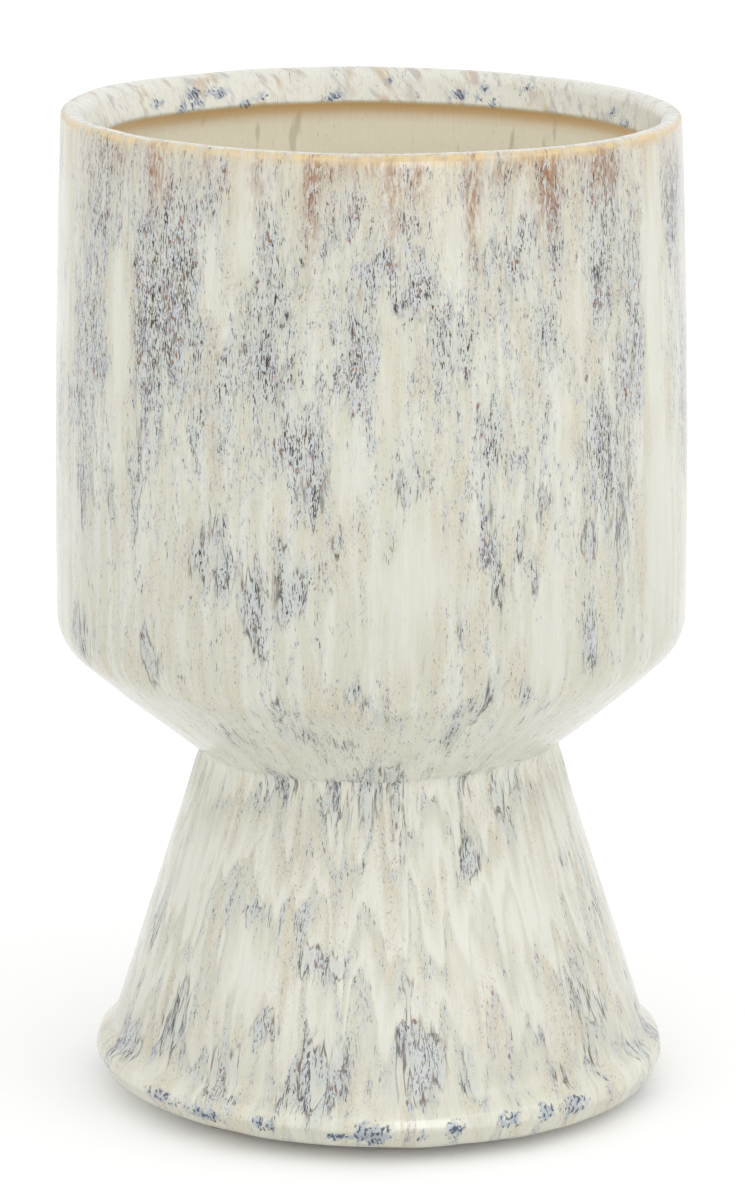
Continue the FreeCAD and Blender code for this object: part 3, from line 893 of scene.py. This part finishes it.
def glaze_ground(tree, flow, masks, curtain):
    """Cream, white runs, sand, and painted light inside the bowl and on its underside; gives the colour and
    the masks of the runs and the sand.
    """
    runs = ramp(tree, streaks(tree, flow, "runs"), 0.38, 0.64)
    sandy = ramp(tree, streaks(tree, flow, "sand"), 0.45, 0.68)
    streaked = times(tree, runs, ramp(tree, masks["pedestal"], 0.0, 1.0, 1.0, 0.5))
    colour = mix_colour(tree, streaked, CREAM, WHITE_RUN)
    colour = mix_colour(tree, times(tree, sandy, 0.6), colour, SAND)
    drip_and_painted_light = ramp(tree, masks["density"], 0.05, -0.4, 0.0, 0.75)
    # Painted light: the bowl's underside is whitened to lift its shade.
    drip_and_painted_light = math_node(tree, "MAXIMUM", drip_and_painted_light, times(tree, masks["underside"], 0.6))
    colour = mix_colour(tree, drip_and_painted_light, colour, WHITE_RUN)
    hem = times(tree, ramp(tree, curtain, 0.35, 0.85), ramp(tree, curtain, 1.0, 0.86, 0.0, 0.6))
    hem = times(tree, hem, ramp(tree, masks["fall"], 305.0, 265.0, 0.25, 1.0))
    colour = mix_colour(tree, times(tree, hem, masks["pedestal"]), colour, HEM_WHITE)
    behind = times(tree, ramp(tree, curtain, 0.0, 0.10), ramp(tree, curtain, 0.50, 0.10, 0.0, 0.3))
    behind = times(tree, behind, masks["pedestal"])
    colour = mix_colour(tree, behind, colour, mix_colour(tree, sandy, SMUDGE, SAND))
    stain = ramp(tree, streaks(tree, flow, "stain"), 0.60, 0.72, 0.0, 0.4)
    stain = times(tree, stain, ramp(tree, masks["fall"], -60.0, -25.0, 0.15, 1.0))
    # The inside: warm cream painted lighter against its shade, with grey stains.
    inside = mix_colour(tree, stain, INSIDE_CREAM_PAINTED_LIGHTER, INSIDE_STAIN)
    colour = mix_colour(tree, masks["inside"], colour, inside)
    return mix_colour(tree, times(tree, masks["lip"], 0.85), colour, LIP_CREAM), runs, sandy


# %% [markdown]
# ## Veils and dashes
# In the patches the top glaze thins to a blue-grey veil, and crystals of iron and cobalt show through it
# as short upright dashes. The denser the patch, the more of the dash noise passes the threshold. The edge
# of a strong patch is drawn darker, because the pigment is swept to the edge of each finger of glaze.

# %% Veils and dashes
VEIL = srgb(208, 212, 206)
LILAC = srgb(199, 203, 205)
NAVY = srgb(44, 48, 64)
UMBER = srgb(92, 64, 46)
SLATE = srgb(76, 80, 76)
IRON = srgb(134, 94, 54)
LILAC_GLOW = srgb(198, 204, 218)
FLAME_CORE = srgb(194, 205, 210)
FIBRE = srgb(173, 179, 183)


def glaze_density_nodes(tree, flow, masks, curtain):
    """The stored density, roughened by fingers of two sizes, and on the pedestal cut off by the curtains."""
    fingers = swing(tree, flow, "fingers")
    wisps = swing(tree, flow, "wisps")
    rough = math_node(tree, "MULTIPLY_ADD", fingers, 1.7, masks["density"])
    rough = math_node(tree, "MULTIPLY_ADD", wisps, 1.7, rough)
    cut = times(tree, masks["pedestal"], ramp(tree, curtain, 0.0, 1.0, 0.25, -0.45))
    rough = math_node(tree, "ADD", rough, cut)
    return times(tree, rough, masks["outside"])


def glaze_veil(tree, flow, masks, density, colour):
    """A grey smudge, a blue-grey or lilac veil over it, and fine fibres in the veil."""
    both = math_node(tree, "MULTIPLY_ADD", masks["density"], 0.6, times(tree, density, 0.4))
    smudge = ramp(tree, both, 0.0, 0.8, 0.0, 0.4)
    colour = mix_colour(tree, smudge, colour, SMUDGE)
    veil = ramp(tree, density, 0.10, 0.75)
    tint = mix_colour(tree, ramp(tree, streaks(tree, flow, "veil_tint"), 0.42, 0.60), VEIL, LILAC)
    cloudy = ramp(tree, streaks(tree, flow, "veil_clouds"), 0.36, 0.62, 0.25, 0.8)
    colour = mix_colour(tree, times(tree, veil, cloudy), colour, tint)
    fibre = ramp(tree, streaks(tree, flow, "veil_fibres"), 0.42, 0.60, 0.0, 0.2)
    return mix_colour(tree, times(tree, veil, fibre), colour, FIBRE)


def glaze_flames(tree, flow, masks, curtain, colour):
    """Pale blue fingers with a dark outline, where pigment is swept to the edge of a run or a curtain."""
    tongue = swing(tree, flow, "flame_tongues")
    flame = math_node(tree, "MULTIPLY_ADD", tongue, 3.0, times(tree, masks["density"], 1.2))
    flame = times(tree, flame, masks["outside"])
    core = ramp(tree, flame, 0.45, 0.80, 0.0, 0.22)
    colour = mix_colour(tree, times(tree, core, masks["low"]), colour, FLAME_CORE)
    line = ramp(tree, math_node(tree, "ABSOLUTE", math_node(tree, "SUBTRACT", flame, 0.5)), 0.17, 0.02)
    brink = times(tree, ramp(tree, curtain, 0.07, 0.01), masks["pedestal"])
    line = math_node(tree, "MAXIMUM", line, brink)
    line = times(tree, line, ramp(tree, masks["density"], 0.15, 0.45))
    broken = ramp(tree, streaks(tree, flow, "flame_gaps"), 0.40, 0.56, 0.15, 0.8)
    tint = mix_colour(tree, ramp(tree, streaks(tree, flow, "flame_tint"), 0.45, 0.58), NAVY, UMBER)
    line = times(tree, line, times(tree, broken, masks["low"]))
    return mix_colour(tree, line, colour, tint)


def glaze_dashes(tree, flow, masks, density, colour):
    """Short upright dashes where the density is high, in three dark tints, browner near the rim."""
    level = math_node(tree, "MULTIPLY_ADD", math_node(tree, "MINIMUM", density, 1.0), -0.15, 0.69)
    short = math_node(tree, "SUBTRACT", streaks(tree, flow, "short_dashes"), level)
    long = math_node(tree, "SUBTRACT", streaks(tree, flow, "long_dashes"), level)
    ink = math_node(tree, "MAXIMUM", ramp(tree, short, 0.0, 0.04), ramp(tree, long, 0.01, 0.05))
    iron = ramp(tree, streaks(tree, flow, "brown_dashes"), 0.40, 0.54)
    iron = times(tree, iron, ramp(tree, masks["fall"], 90.0, 230.0, 1.0, 0.4))
    pale = ramp(tree, streaks(tree, flow, "pale_dashes"), 0.47, 0.62)
    tint = mix_colour(tree, pale, mix_colour(tree, iron, NAVY, UMBER), SLATE)
    strength = ramp(tree, density, -0.1, 0.9, 0.28, 1.0)
    strength = times(tree, strength, ramp(tree, masks["fall"], 245.0, 295.0, 1.0, 0.85))
    return mix_colour(tree, times(tree, ink, strength), colour, tint)


def glaze_iron(tree, flow, density, colour):
    """Rusty blots of iron in some of the dense places, each with a lilac glow about it."""
    cluster = ramp(tree, streaks(tree, flow, "iron_clusters"), 0.47, 0.58)
    amount = times(tree, cluster, ramp(tree, density, 0.25, 0.8))
    blot = streaks(tree, flow, "iron_blots")
    glow = times(tree, amount, ramp(tree, blot, 0.42, 0.60, 0.0, 0.65))
    colour = mix_colour(tree, glow, colour, LILAC_GLOW)
    rusty = times(tree, amount, ramp(tree, blot, 0.57, 0.63, 0.0, 0.9))
    return mix_colour(tree, rusty, colour, IRON)


# %% [markdown]
# ## Specks, rim and pools
# Tiny brown specks of iron show where the glaze is sandy. On the rim the glaze is thin and breaks to
# straw, with rusty places just below. Along the lip and the foot it gathers in small blue pools.

# %% Specks, rim and pools
STRAW = srgb(226, 201, 152)
RUST = srgb(156, 104, 62)
GOLD = srgb(200, 166, 116)
LIP_LILAC = srgb(178, 174, 176)
LIP_BROWN = srgb(192, 168, 140)
# Under the lip the tan stands for thin glaze and partly for painted shade under the overhang.
UNDER_LIP = srgb(226, 188, 136)
POOL_BLUE = srgb(120, 146, 180)
POOL_DARK = srgb(46, 56, 84)


SPECK_RATE = (1 / 1.5, 1 / 1.5, 1 / 2.4)


def glaze_specks(tree, flow, masks, sandy, colour):
    """Round specks and a finer pepper, most of them where the glaze is sandy."""
    place = vector_node(tree, "MULTIPLY", flow, SPECK_RATE)
    cells = add_node(tree, "ShaderNodeTexVoronoi", Vector=place, Scale=1.0)
    speck = ramp(tree, cells.outputs["Distance"], 0.22, 0.10)
    pepper = ramp(tree, streaks(tree, flow, "pepper"), 0.57, 0.67, 0.0, 0.7)
    speck = math_node(tree, "MAXIMUM", speck, pepper)
    amount = math_node(tree, "MULTIPLY_ADD", sandy, 0.42, 0.10)
    amount = times(tree, amount, ramp(tree, masks["density"], -0.35, 0.15))
    amount = times(tree, amount, masks["outside"])
    return mix_colour(tree, times(tree, speck, amount), colour, UMBER)


def glaze_rim(tree, flow, masks, colour):
    """Gold and rust below the rim, straw on its edge, and under the lip a warm line of thin glaze and
    painted shade.
    """
    lumps = ramp(tree, streaks(tree, flow, "rim_lumps"), 0.40, 0.58, 0.1, 0.7)
    across = add_node(tree, "ShaderNodeSeparateXYZ", Vector=flow).outputs["X"]
    lumps = times(tree, lumps, ramp(tree, across, -60.0, 20.0, 0.35, 1.0))
    gold = times(tree, lumps, ramp(tree, masks["fall"], 5.0, 0.8))
    gold = math_node(tree, "MAXIMUM", gold, ramp(tree, masks["fall"], 28.0, 5.0, 0.0, 0.12))
    gold = times(tree, gold, ramp(tree, masks["fall"], -0.5, 0.8))
    colour = mix_colour(tree, gold, colour, GOLD)
    rust_noise = ramp(tree, streaks(tree, flow, "rust_flecks"), 0.42, 0.56, 0.05, 0.9)
    colour = mix_colour(tree, times(tree, rust_noise, masks["rust"]), colour, RUST)
    uneven_edge = ramp(tree, streaks(tree, flow, "rim_edge"), 0.36, 0.62, 0.15, 0.8)
    edge = times(tree, masks["thin_glaze_and_lip_shade"], math_node(tree, "MAXIMUM", uneven_edge, masks["inside"]))
    return mix_colour(tree, edge, colour, mix_colour(tree, masks["inside"], STRAW, UNDER_LIP))


LIP_SLANT = 0.8


def slanted_flow(tree, flow, masks):
    """The flow, leaning sideways on the lip, where it ran round as well as in."""
    slide = times(tree, math_node(tree, "MINIMUM", masks["fall"], 0.0), LIP_SLANT)
    return vector_node(tree, "ADD", flow, add_node(tree, "ShaderNodeCombineXYZ", X=slide).outputs["Vector"])


def glaze_lip(tree, flow, slanted, masks, colour):
    """Strokes of lilac grey and brown that ran over the lip."""
    strokes = ramp(tree, streaks(tree, slanted, "lip_strokes"), 0.42, 0.64, 0.0, 0.7)
    lumps = ramp(tree, streaks(tree, flow, "lip_lumps"), 0.38, 0.60)
    tint = mix_colour(tree, ramp(tree, streaks(tree, flow, "lip_tint"), 0.46, 0.60), LIP_LILAC, LIP_BROWN)
    amount = times(tree, times(tree, strokes, lumps), masks["lip"])
    return mix_colour(tree, amount, colour, tint)


def glaze_pools(tree, flow, slanted, masks, colour):
    """Blue pools with dark strokes in them, where the glaze gathers."""
    ripple = swing(tree, flow, "pool_ripples")
    depth = math_node(tree, "MULTIPLY_ADD", ripple, 2.4, masks["pool"])
    near = ramp(tree, masks["pool"], 0.06, 0.35)
    blue = times(tree, near, ramp(tree, depth, 0.12, 0.70, 0.0, 0.5))
    colour = mix_colour(tree, blue, colour, POOL_BLUE)
    stroke = math_node(tree, "MULTIPLY_ADD", depth, 0.12, streaks(tree, slanted, "pool_strokes"))
    dark = times(tree, near, ramp(tree, stroke, 0.59, 0.67, 0.0, 0.85))
    return mix_colour(tree, dark, colour, POOL_DARK)


# %% [markdown]
# ## Putting the glaze together
# The layers go on in kiln order. The foot ring and the hollow below are wiped bare, so there the buff
# clay shows, rough and dry. A single Principled shader takes the colour, the gloss and the relief.

# %% Build the glaze
BUFF = srgb(190, 166, 134)
PALE_BUFF = srgb(208, 189, 160)


def make_glaze():
    material, tree, shader = new_material("reactive_glaze")
    masks = read_masks(tree)
    flow = wandering_flow(tree)
    curtain = glaze_curtains(tree, flow)
    colour, runs, sandy = glaze_ground(tree, flow, masks, curtain)
    density = glaze_density_nodes(tree, flow, masks, curtain)
    colour = glaze_veil(tree, flow, masks, density, colour)
    colour = glaze_flames(tree, flow, masks, curtain, colour)
    colour = glaze_dashes(tree, flow, masks, density, colour)
    colour = glaze_iron(tree, flow, density, colour)
    colour = glaze_specks(tree, flow, masks, sandy, colour)
    slanted = slanted_flow(tree, flow, masks)
    colour = glaze_lip(tree, flow, slanted, masks, colour)
    colour = glaze_rim(tree, flow, masks, colour)
    colour = glaze_pools(tree, flow, slanted, masks, colour)

    grain = streaks(tree, flow, "grain")
    level = ramp(tree, grain, 0.0, 1.0, 0.5, -0.5)
    outer_grain = math_node(tree, "MULTIPLY_ADD", masks["inside"], level, grain)
    shade = ramp(tree, outer_grain, 0.25, 0.75, 0.965, 1.03)
    # Painted light and shade along the fall darken and lighten the colour.
    shade = times(tree, shade, painted_shading(tree, masks))
    colour = vector_node(tree, "SCALE", colour, scale=shade)

    clay = streaks(tree, flow, "clay")
    bare_colour = mix_colour(tree, ramp(tree, clay, 0.35, 0.7), BUFF, PALE_BUFF)
    colour = mix_colour(tree, masks["bare"], colour, bare_colour)
    tree.links.new(colour, shader.inputs["Base Color"])

    gloss = ramp(tree, grain, 0.3, 0.7, 0.12, 0.20)
    fall = masks["fall"]
    wiped_dull = times(tree, ramp(tree, fall, 200.0, 209.0), ramp(tree, fall, 232.0, 216.0))
    gloss = math_node(tree, "MULTIPLY_ADD", wiped_dull, 0.3, gloss)
    tree.links.new(math_node(tree, "MULTIPLY_ADD", masks["bare"], 0.6, gloss), shader.inputs["Roughness"])

    relief = times(tree, runs, math_node(tree, "SUBTRACT", 1.0, masks["bare"]))
    relief = math_node(tree, "ADD", relief, times(tree, clay, masks["bare"]))
    add_bump(tree, shader, relief, strength=0.5, distance=0.15 * MM)
    return material


glaze = make_glaze()
for piece, node in ((bowl_ware, "bowl"), (pedestal_ware, "pedestal")):
    piece.data.materials.append(glaze)
    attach(piece, "planter")
    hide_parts(node)
print("glaze nodes:", len(glaze.node_tree.nodes))

# %% [markdown]
# ## A grain for dry surfaces
# Fired clay, rubber, felt and paper have no flow, only a cloudy grain of some size. That is one effect
# for several materials, so it is a second node group. It reads the piece's own place in space, so the
# grain keeps its size in millimetres on every piece.


# %% The grain group
def make_grain_group():
    group = bpy.data.node_groups.new("surface_grain", "ShaderNodeTree")
    number_sockets(group, (("Size", 1.0), ("Detail", 2.0), ("Tangle", 0.0)))
    given = group.nodes.new("NodeGroupInput").outputs
    result = group.nodes.new("NodeGroupOutput")
    place = add_node(group, "ShaderNodeTexCoord").outputs["Object"]
    scale = math_node(group, "DIVIDE", 1 / MM, given["Size"])
    cloud = add_node(group, "ShaderNodeTexNoise", Vector=place, Scale=scale, Detail=given["Detail"],
                     Distortion=given["Tangle"])
    group.links.new(cloud.outputs[0], result.inputs["Value"])
    return group


GRAIN_GROUP = make_grain_group()


def grain_of(tree, size, detail, tangle=0.0):
    """Place the grain group with a size in millimetres."""
    node = add_node(tree, "ShaderNodeGroup", {"node_tree": GRAIN_GROUP}, Size=size, Detail=detail,
                    Tangle=tangle)
    return node.outputs["Value"]


print("grain group:", len(GRAIN_GROUP.nodes), "nodes")

# %% [markdown]
# ## The luting slip
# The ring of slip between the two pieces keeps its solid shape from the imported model. Only its inner
# edge can be seen, from below, so it gets a plain fired clay with a fine sandy grain.

# %% Dress the slip
SLIP_DARK = srgb(186, 160, 126)
SLIP_PALE = srgb(212, 192, 162)


def make_fired_clay():
    material, tree, shader = new_material("fired_slip")
    grit = grain_of(tree, size=1.1, detail=4.0)
    colour = mix_colour(tree, ramp(tree, grit, 0.35, 0.7), SLIP_DARK, SLIP_PALE)
    tree.links.new(colour, shader.inputs["Base Color"])
    add_bump(tree, shader, grit, strength=0.4, distance=0.2 * MM)
    shader.inputs["Roughness"].default_value = 0.85
    return material


def dress(node, material):
    """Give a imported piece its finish."""
    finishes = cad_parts[node].data.materials
    finishes.clear()
    finishes.append(material)
    print("dressed:", node, "in", material.name)


dress("luting_slip", make_fired_clay())

# %% [markdown]
# ## The drain plug
# A moulded rubber plug closes the drain hole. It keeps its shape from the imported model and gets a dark
# rubber with a faint bloom and a fine moulded grain.

# %% Dress the plug
RUBBER = srgb(38, 38, 40)
RUBBER_BLOOM = srgb(66, 66, 68)


def make_rubber():
    material, tree, shader = new_material("plug_rubber")
    bloom = grain_of(tree, size=6.0, detail=4.0)
    grain = grain_of(tree, size=0.45, detail=2.0)
    colour = mix_colour(tree, ramp(tree, bloom, 0.4, 0.75), RUBBER, RUBBER_BLOOM)
    tree.links.new(colour, shader.inputs["Base Color"])
    tree.links.new(ramp(tree, bloom, 0.3, 0.7, 0.55, 0.75), shader.inputs["Roughness"])
    add_bump(tree, shader, grain, strength=0.3, distance=0.1 * MM)
    return material


dress("drain_plug", make_rubber())

# %% [markdown]
# ## The felt pads
# Small discs of pressed felt keep the foot ring from scratching a table. Each is a disc with a rounded
# edge that the weight of the pot has pressed a little wider at its foot.

# %% Make the pads
FELT_DARK = srgb(96, 84, 70)
FELT_PALE = srgb(150, 136, 116)
FELT_BLOTCH = srgb(120, 106, 90)


def make_felt():
    material, tree, shader = new_material("felt")
    fibre = grain_of(tree, size=0.4, detail=5.0, tangle=2.0)
    blotch = grain_of(tree, size=2.0, detail=3.0)
    colour = mix_colour(tree, ramp(tree, fibre, 0.3, 0.7), FELT_DARK, FELT_PALE)
    colour = mix_colour(tree, ramp(tree, blotch, 0.5, 0.7, 0.0, 0.4), colour, FELT_BLOTCH)
    tree.links.new(colour, shader.inputs["Base Color"])
    add_bump(tree, shader, fibre, strength=0.6, distance=0.25 * MM)
    shader.inputs["Roughness"].default_value = 0.95
    shader.inputs["Sheen Weight"].default_value = 0.3
    return material


PAD_SEGMENTS = 48
PAD_FRAY = 0.012
# Rings of a pad from its foot to its top, each a share of the radius and a share of the height.
PAD_RINGS = ((0.55, 0.0), (0.93, 0.0), (1.0, 0.12), (1.0, 0.45), (0.985, 0.8), (0.94, 1.0), (0.5, 1.0))


def make_pad(name, node, felt):
    low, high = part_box(node)
    middle = (low + high) / 2
    radius = (high.x - low.x) / 2
    points = []
    for share, rise in PAD_RINGS:
        for segment in range(PAD_SEGMENTS):
            angle = 2 * math.pi * segment / PAD_SEGMENTS
            cosine = math.cos(angle)
            sine = math.sin(angle)
            fray = 1 + PAD_FRAY * noise.noise((3 * cosine, 3 * sine, 7 * rise + middle.x * 50))
            reach = radius * share * fray
            height = low.z + (high.z - low.z) * rise
            points.append((middle.x + reach * cosine, middle.y + reach * sine, height))
    bottom = len(points)
    top = bottom - PAD_SEGMENTS
    points += [(middle.x, middle.y, low.z), (middle.x, middle.y, high.z)]
    faces = []
    for segment in range(PAD_SEGMENTS):
        beside = (segment + 1) % PAD_SEGMENTS
        faces.append((bottom, beside, segment))
        for here in range(0, top, PAD_SEGMENTS):
            above = here + PAD_SEGMENTS
            faces.append((here + segment, here + beside, above + beside, above + segment))
        faces.append((bottom + 1, top + segment, top + beside))
    mesh = bpy.data.meshes.new(name)
    mesh.from_pydata(points, [], faces)
    mesh.polygons.foreach_set("use_smooth", [True] * len(faces))
    mesh.materials.append(felt)
    pad = put_in_scene(name, mesh)
    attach(pad, "planter")
    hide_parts(node)


felt = make_felt()
pad_nodes = sorted(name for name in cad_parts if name.startswith("felt_pad"))
for node in pad_nodes:
    make_pad(node + "_disc", node, felt)
print("pads:", len(pad_nodes))

# %% [markdown]
# ## Floor, light and background
# The planter stands on a pale floor in a white studio. The light comes from all round, as in a light
# tent, so that colours look as they are written. One soft lamp on the right lifts that side a little, and
# a low lamp far in front lights nothing: it is only there to be mirrored in the glossy bead of the foot.

# %% Floor
FLOOR_LIFT = 0.07
FLOOR_GREY = srgb(222, 222, 220)
FLOOR_PALE = srgb(226, 226, 224)
WHITE = srgb(255, 255, 255)


def make_floor():
    material, tree, shader = new_material("studio_floor")
    path = tree.nodes.new("ShaderNodeLightPath")
    seen = math_node(tree, "MAXIMUM", path.outputs["Is Camera Ray"], path.outputs["Is Glossy Ray"])
    seen = math_node(tree, "MAXIMUM", seen, path.outputs["Is Transmission Ray"])
    bounced = mix_colour(tree, grain_of(tree, size=25.0, detail=2.0), FLOOR_GREY, FLOOR_PALE)
    tree.links.new(mix_colour(tree, seen, bounced, WHITE), shader.inputs["Base Color"])
    shader.inputs["Roughness"].default_value = 1.0
    shader.inputs["Specular IOR Level"].default_value = 0.0
    tree.links.new(times(tree, seen, FLOOR_LIFT), shader.inputs["Emission Strength"])
    return material


FLOOR_HALF = 8.0
FLOOR_CORNERS = ((-1, -1), (1, -1), (1, 1), (-1, 1))
floor_mesh = bpy.data.meshes.new("floor")
floor_mesh.from_pydata([(FLOOR_HALF * x, FLOOR_HALF * y, 0) for x, y in FLOOR_CORNERS], [], [(0, 1, 2, 3)])
floor_mesh.materials.append(make_floor())
floor = put_in_scene("floor", floor_mesh)
print("floor:", 2 * FLOOR_HALF, "m wide")

# %% Light
WORLD_STRENGTH = 1.33
SKY_LEVELS = ((0.50, 0.75), (0.62, 1.0), (0.80, 0.92), (0.92, 0.62), (1.0, 0.5))
FRONT_RIGHT = (0.05, -0.22, 0.0)


def make_world():
    """White all round, brightest in a ring between the horizon and the zenith."""
    world = bpy.data.worlds.new("studio")
    world.use_nodes = True
    tree = world.node_tree
    direction = add_node(tree, "ShaderNodeTexCoord").outputs["Generated"]
    height = add_node(tree, "ShaderNodeSeparateXYZ", Vector=direction).outputs["Z"]
    share = math_node(tree, "MULTIPLY_ADD", height, 0.5, 0.5)
    levels = add_node(tree, "ShaderNodeValToRGB", Fac=share)
    set_stops(levels, SKY_LEVELS)
    lean = add_node(tree, "ShaderNodeVectorMath", {"operation": "DOT_PRODUCT"})
    set_input(tree, lean.inputs[0], direction)
    set_input(tree, lean.inputs[1], FRONT_RIGHT)
    side = math_node(tree, "ADD", lean.outputs["Value"], 1.0)
    background = tree.nodes["Background"]
    light = vector_node(tree, "SCALE", levels.outputs["Color"], scale=side)
    tree.links.new(light, background.inputs["Color"])
    background.inputs["Strength"].default_value = WORLD_STRENGTH
    return world


bpy.context.scene.world = make_world()

WARE_MIDDLE = Vector((0, 0, 0.16))


def soft_lamp(name, place, width, height, power, glossy_only=False):
    """A rectangular lamp turned to the middle of the ware; a glossy_only one shows in reflections alone."""
    lamp = put_in_scene(name, bpy.data.lights.new(name, "AREA"))
    lamp.data.shape = "RECTANGLE"
    lamp.data.size = width
    lamp.data.size_y = height
    lamp.data.energy = power
    lamp.location = place
    lamp.rotation_euler = (WARE_MIDDLE - lamp.location).to_track_quat("-Z", "Y").to_euler()
    lamp.visible_diffuse = not glossy_only


soft_lamp("right_lamp", (1.3, -0.9, 0.9), width=0.8, height=0.9, power=1.2)
soft_lamp("gloss_lamp", (0.95, -3.0, 0.42), width=1.4, height=0.6, power=13.0, glossy_only=True)
bpy.context.scene.view_settings.view_transform = "Standard"
